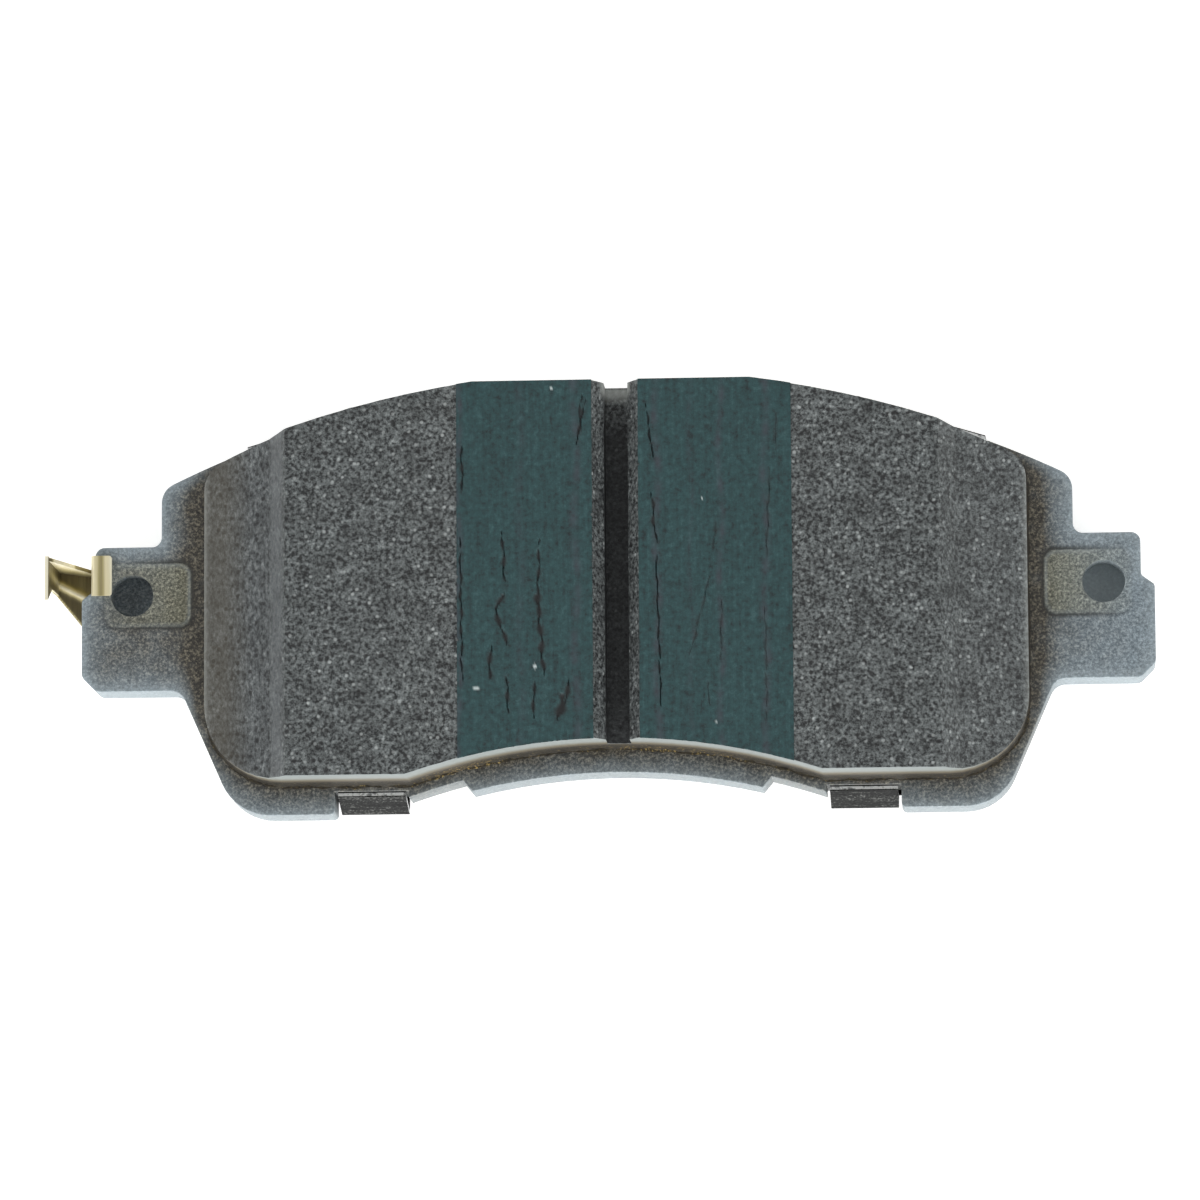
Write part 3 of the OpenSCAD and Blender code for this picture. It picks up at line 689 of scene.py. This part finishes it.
# Fissures in the coated bands, in millimetres: place of the upper end, length,
# drift to the right over that length, and width
FISSURES = (
    (-18.1, 16.5, 6.0, 0.1, 0.3), (-18.3, 5.5, 18.0, 0.2, 0.3), (-13.2, 5.6, 6.0, 0.3, 0.36),
    (-13.1, -1.8, 2.2, -1.0, 0.5), (-14.2, -3.2, 5.2, 1.6, 0.5), (-14.6, -8.2, 4.2, -0.2, 0.46),
    (-12.8, -11.8, 4.6, 0.3, 0.34), (-8.7, 4.8, 7.6, -0.2, 0.34), (-8.9, -2.6, 9.6, 0.7, 0.56),
    (-8.9, -1.8, 2.4, 0.1, 0.8), (-9.4, -12.4, 4.8, -0.1, 0.34), (-5.0, -12.2, 4.6, -1.2, 0.5),
    (-5.9, -14.0, 3.4, -0.7, 1.0),
    (-3.5, 22.2, 6.0, -0.5, 0.28), (-3.1, 21.8, 4.0, -0.6, 0.24), (4.9, 10.2, 6.0, 0.5, 0.38),
    (4.3, 21.0, 6.6, 0.8, 0.24), (5.4, 3.2, 19.6, 0.5, 0.24), (12.7, 7.4, 4.4, -0.4, 0.28),
    (11.9, 0.0, 10.0, -2.6, 0.26), (13.3, -2.8, 7.8, -0.2, 0.24), (19.2, 13.4, 12.0, -0.5, 0.26),
    (18.5, -3.6, 14.4, 0.1, 0.26), (11.6, -12.8, 3.0, 0.0, 0.26), (20.0, 20.0, 5.0, 0.0, 0.18),
    (11.6, 18.5, 0.8, 0.0, 0.7))

# Streaks where the paint is worn, in millimetres: place along the pad, half
# width, and strength from 0 to 1
WORN = ((-18.5, 0.35, 0.6), (-11.0, 0.5, 0.2), (-4.3, 0.5, 0.5), (5.5, 0.45, 0.55),
        (9.6, 0.3, 0.2), (13.2, 0.4, 0.5), (18.6, 0.45, 0.5))

# Painted glints on the paint, in millimetres: place, half width and half height
GLINTS = ((-9.3, -10.8, 0.17, 0.3), (-16.4, -13.4, 0.36, 0.14), (-7.1, 23.2, 0.15, 0.16),
          (12.5, -17.7, 0.15, 0.16), (11.0, 9.5, 0.14, 0.16))


def fissure_depth(x, y):
    """How deep each place lies in a fissure, from 0 to 1."""
    depth = np.zeros(len(x))
    for number, (start_x, start_y, length, drift, width) in enumerate(FISSURES):
        along = (start_y - y) / length
        sway = 0.3 * min(width, 0.4) * np.sin(1.6 * y + 1.7 * number)
        wander = sway + 0.03 * np.sin(4.1 * y + number)
        line = start_x + drift * along + wander
        swell = np.clip(4 * along * (1 - along), 0, 1) ** 0.5
        half = width / 2 * swell * (1 + 0.6 * np.sin(2.9 * y + 0.9 * number)) + 1e-6
        here = np.clip(1.5 - np.abs(x - line) / half, 0, 1)
        if start_x > 6:
            here = 0.55 * here
        depth = np.maximum(depth, np.where((along > 0) & (along < 1), here, 0))
    return depth


def open_fissures(lining):
    """Sinks the lining's face along the fissures, and marks them, the paint's wear and its painted
    glints.
    """
    places = points_of(lining)
    x, y = places[:, 0] / MM, places[:, 1] / MM
    on_face = places[:, 2] > LINING_FACE - 0.5 * MM
    depth = np.where(on_face, fissure_depth(x, y), 0)
    fissure_deep = 0.22
    places[:, 2] -= depth * fissure_deep * MM
    set_points(lining, places)
    set_attribute(lining, "fissure", depth)
    worn, glint = np.zeros(len(x)), np.zeros(len(x))
    for number, (middle, half, strength) in enumerate(WORN):
        fray = 0.55 + 0.45 * np.sin(0.55 * y + 2.3 * number) * np.sin(1.7 * y + number)
        line = middle + 0.25 * np.sin(0.4 * y + number)
        worn = np.maximum(worn, strength * fray * np.exp(-((x - line) / half) ** 2))
    for middle_x, middle_y, half_x, half_y in GLINTS:
        reach = ((x - middle_x) / half_x) ** 2 + ((y - middle_y) / half_y) ** 2
        glint = np.maximum(glint, np.clip(1.4 - reach, 0, 0.8))
    set_attribute(lining, "worn", worn)
    set_attribute(lining, "glint", glint)


def make_coat(lining, name, band):
    """A painted band: the lining's face inside the band, given the paint's thickness."""
    coat = bpy.data.objects.new(name, lining.data.copy())
    bpy.context.scene.collection.objects.link(coat)
    coat.data.name = name
    mesh = coat.data
    pick(coat)
    bpy.ops.object.mode_set(mode="EDIT")
    bpy.ops.mesh.select_mode(type="FACE")
    bpy.ops.mesh.select_all(action="DESELECT")
    bpy.ops.object.mode_set(mode="OBJECT")
    sway, skin = 0.12 * MM, 0.45 * MM
    for face in mesh.polygons:
        spot = Vector((face.center.y / MM * 1.5, face.center.x * 90, 3.0))
        ragged = sway * noise.noise(spot)
        inside = band[0] + ragged < face.center.x < band[1] + ragged
        on_face = face.normal.z > 0.3 and face.center.z > LINING_FACE - skin
        face.select = not (inside and on_face)
    bpy.ops.object.mode_set(mode="EDIT")
    bpy.ops.mesh.delete(type="FACE")
    bpy.ops.object.mode_set(mode="OBJECT")
    wall = coat.modifiers.new("paint", "SOLIDIFY")
    wall.thickness = PAINT_THICK
    wall.offset = 1.0
    apply_modifiers(coat)
    return coat


def make_foot(node, name, reach, seed):
    """A layer under the lining whose edge was squeezed out in pressing."""
    layer = copy_of(node, name)
    low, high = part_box(node)
    top, step = high.z, 0.5 * MM
    cut_rows(layer, 0, spaced(low.x, high.x, step))
    cut_rows(layer, 1, spaced(low.y, high.y, step))
    foot = UNDER_FOOT if node == "underlayer" else PLATE_FRONT
    cut_rows(layer, 2, [foot + d * (top - foot) for d in (0.2, 0.45, 0.7)])
    places, normals = points_of(layer), normals_of(layer)
    for i, place in enumerate(places):
        side = Vector((normals[i][0], normals[i][1], 0.0))
        hidden = near_hole(place[:2], HOLE_WALL) or place[2] < foot - ON_PLANE
        if side.length < 0.3 or hidden:
            continue
        height = (place[2] - foot) / (top - foot)
        lumps = noise.noise(Vector(place / MM) * 0.8 + Vector((seed, 0, 0)))
        fine = noise.noise(Vector(place / MM) * 2.5 + Vector((seed, 5, 0)))
        push = reach * max(0.15, 0.6 + 0.7 * lumps + 0.35 * fine) * (1 - height) ** 2
        if node == "glue_film":
            at_foot = min(1.0, max(0.35, (-place[1] / MM - 12) / 5))
            push = reach * at_foot * max(0.1, 0.6 + 0.4 * lumps + 0.2 * fine)
        places[i] += np.array(side.normalized()) * push
    set_points(layer, places)

    # Brass shows along the lower edge, most in two stretches of it
    x, y = places[:, 0] / MM, places[:, 1] / MM
    lower = np.clip((-y - 16.5) / 2, 0, 1)
    flecked = np.exp(-((x + 19) / 5) ** 4) + 0.7 * np.exp(-((x - 7) / 9) ** 4)
    set_attribute(layer, "gilt", lower * (0.1 + 0.9 * flecked))
    return layer


def hook_sheen_and_shade(x, z):
    """The hook's painted reflection: a painted dark stripe between two painted highlights on its
    rolled edges, and painted bright on the arm and tip beyond the hook.
    """
    stripe = math.exp(-((x + 63.05) / 0.38) ** 2)
    rolled = math.exp(-((x + 64.25) / 0.12) ** 2) + math.exp(-((x + 61.75) / 0.12) ** 2)
    if x < -65:
        return 1.0 if z > 10.5 else 0.9
    return 0.84 - 0.36 * stripe + 0.1 * rolled


def arm_bead(x, y):
    """How far the stiffening bead stands up along the indicator's arm, from 0 to 1."""
    middle = 2.0 + (x + 68.5) * (-0.5)
    return math.exp(-((y - middle) / 0.55) ** 2) * ramp(-x, ARM_START, 0.8)


def make_indicator():
    """The wear indicator: bent spring steel with rounded bends and edges, a raised bead, and
    painted reflections and shade.
    """
    clip = copy_of("wear_indicator", "bent_indicator")
    low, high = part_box("wear_indicator")
    hook_top, hook_side, hook_end = PLATE_FRONT + 0.48 * MM, -64.28 * MM, -61.73 * MM
    bend_round, corner_round, edge_round = 0.42 * MM, 0.35 * MM, 0.07 * MM
    near = 0.02 * MM

    def outer_bend(middle, ends, normals):
        along_y = abs(ends[0].y - ends[1].y) > 1.5 * MM
        return along_y and abs(middle.x - hook_side) < near and abs(middle.z - hook_top) < near

    def hook_corner(middle, ends, normals):
        upright = 0.3 * MM < abs(ends[0].z - ends[1].z) < 0.6 * MM
        return upright and abs(middle.x - hook_end) < near and middle.z > PLATE_FRONT

    bevel_edges(clip, bend_round, 4, outer_bend)
    bevel_edges(clip, corner_round, 4, hook_corner)
    bevel_edges(clip, edge_round, 2, lambda middle, ends, normals: True)
    past_hook, column, row, bead_high = -61.0 * MM, 0.25 * MM, 0.2 * MM, 0.42
    cut_rows(clip, 0, spaced(low.x, past_hook, column))
    cut_rows(clip, 1, spaced(low.y, high.y, row))
    places, normals = points_of(clip), normals_of(clip)
    # Painted reflections and shade: a middle level, bright on the flange's underside that would
    # mirror the floor, dark on the tip's inner face
    sheen_and_shade = np.full(len(places), 0.45)
    for i, place in enumerate(places):
        x, y, z = place / MM
        if z > PLATE_FRONT / MM:
            sheen_and_shade[i] = hook_sheen_and_shade(x, z)
        if normals[i][1] < -0.7 and y > 2.5 and x < -64.5:
            sheen_and_shade[i] = 1.0
        if normals[i][0] > 0.7 and x < -68.5:
            sheen_and_shade[i] = 0.3
        if z > 1.4 or x > -ARM_START:
            continue
        bead = arm_bead(x, y)
        places[i][2] += bead_high * MM * bead
        if z > 0.3:
            foot = min(1.0 - 1.22 * (x + 69.4), -2.9 - 1.67 * (x + 66.2))
            edge = math.exp(-((y - foot - 0.12) / 0.25) ** 2)
            # Painted shade on the low arm and web, with painted highlights on the bead and along
            # the lower sheet's edge
            sheen_and_shade[i] = (0.3 if y > 1.1 - (x + 66) * 0.3 else 0.18) + 0.8 * bead + 0.7 * edge
    set_points(clip, places)
    set_attribute(clip, "sheen_and_shade", np.clip(sheen_and_shade, 0, 1))
    return clip


# ---- camera, lights and floor ----

def look_from(tilt, yaw, roll, distance, target, lens):
    """The camera, above the pad and a little towards its lower edge."""
    tilt, yaw, roll = (math.radians(a) for a in (tilt, yaw, roll))
    back = Vector((math.sin(yaw) * math.cos(tilt), -math.sin(tilt), math.cos(yaw) * math.cos(tilt)))
    level = Vector((0, 1, 0)).cross(back).normalized()
    upright = back.cross(level)
    right = level * math.cos(roll) - upright * math.sin(roll)
    up = upright * math.cos(roll) + level * math.sin(roll)
    bpy.ops.object.camera_add()
    camera = bpy.context.object
    camera.data.lens = lens
    camera.data.sensor_width = 36.0
    turn = Matrix((right, up, back)).transposed().to_4x4()
    camera.matrix_world = Matrix.Translation(target + back * distance) @ turn
    camera.data.clip_start, camera.data.clip_end = 0.01, 10.0
    bpy.context.scene.camera = camera


def soft_box(name, place, size, power):
    """A square lamp that faces the pad."""
    bpy.ops.object.light_add(type="AREA", location=place)
    lamp = bpy.context.object
    lamp.name = name
    lamp.data.size = size
    lamp.data.energy = power
    lamp.rotation_euler = Vector(place).to_track_quat("Z", "Y").to_euler()


def light_studio():
    """White surroundings, darker straight above the pad, and four soft boxes."""
    world = bpy.data.worlds.new("studio")
    bpy.context.scene.world = world
    world.use_nodes = True
    tree = world.node_tree
    direction = add(tree, "TexCoord").outputs["Generated"]
    height = add(tree, "SeparateXYZ", {"Vector": direction})
    fade = add(tree, "MapRange", {"Value": height.outputs["Z"], "From Min": 0.55,
                                  "From Max": 0.95, "To Min": 0.85, "To Max": 0.3})
    tree.links.new(fade.outputs[0], tree.nodes["Background"].inputs["Strength"])
    tree.nodes["Background"].inputs["Color"].default_value = (1.0, 1.0, 1.0, 1.0)
    soft_box("box_right", (0.55, 0.0, 0.45), 0.45, 0.8)
    soft_box("box_left", (-0.55, 0.1, 0.45), 0.45, 0.7)
    soft_box("box_top", (0.0, 0.6, 0.45), 0.45, 0.6)
    soft_box("box_bottom", (0.0, -0.6, 0.14), 0.5, 6.0)


def lay_floor():
    """A wide pale floor under the pad's bosses."""
    gap = 0.1 * MM
    bpy.ops.mesh.primitive_plane_add(size=3.0, location=(0, 0, cad_box[0].z - gap))
    floor = bpy.context.object
    floor.name = "floor"
    material, _, shader, _ = new_material("pale_floor", 0.0, 0.9)
    shader.inputs["Base Color"].default_value = tint("#f4f4f2")
    shader.inputs["Emission Color"].default_value = tint("#ffffff")
    shader.inputs["Emission Strength"].default_value = 0.5
    floor.data.materials.append(material)


# ---- the pad ----

bpy.ops.object.select_all(action="DESELECT")
bpy.context.scene.view_settings.view_transform = "Standard"
look_from(tilt=8.4, yaw=3.4, roll=0.37, distance=0.9,
          target=Vector((-1.96, -1.43, 6.7)) * MM, lens=221.7)
light_studio()
lay_floor()

lining_finish, coat_finish, rubber = friction_compound(), bedding_coat(), shim_rubber()
lining = make_lining()
plate = make_plate()
stain_plate(plate, lining)
left_coat = make_coat(lining, "painted_band_left", COAT_LEFT)
right_coat = make_coat(lining, "painted_band_right", COAT_RIGHT)
underlayer = make_foot("underlayer", "pressed_underlayer", reach=0.35 * MM, seed=1.0)
glue = make_foot("glue_film", "squeezed_glue", reach=0.7 * MM, seed=4.0)
indicator = make_indicator()

finish_piece(plate, "pad", "backing_plate", powder_coat())
finish_piece(lining, "pad", "friction_lining", lining_finish)
finish_piece(left_coat, "pad", "coating_left", coat_finish)
finish_piece(right_coat, "pad", "coating_right", coat_finish)
finish_piece(underlayer, "pad", "underlayer",
             brassy_glue("bonding_compound", "#191713", "#2f2b22", "#857147"), 50)
finish_piece(glue, "pad", "glue_film",
             brassy_glue("phenolic_glue", "#1e1b15", "#3a3426", "#a8925a"), 50)
finish_piece(indicator, "pad", "wear_indicator", spring_steel(), 40)
for node, name, slot, finish in (
        ("shim_front_rubber", "front_rubber", "shim_rubber", rubber),
        ("shim_steel_core", "steel_core", "shim_steel", sheared_steel()),
        ("shim_back_rubber", "back_rubber", "shim_rubber", rubber)):
    finish_piece(copy_of(node, name), "shim", node, finish)
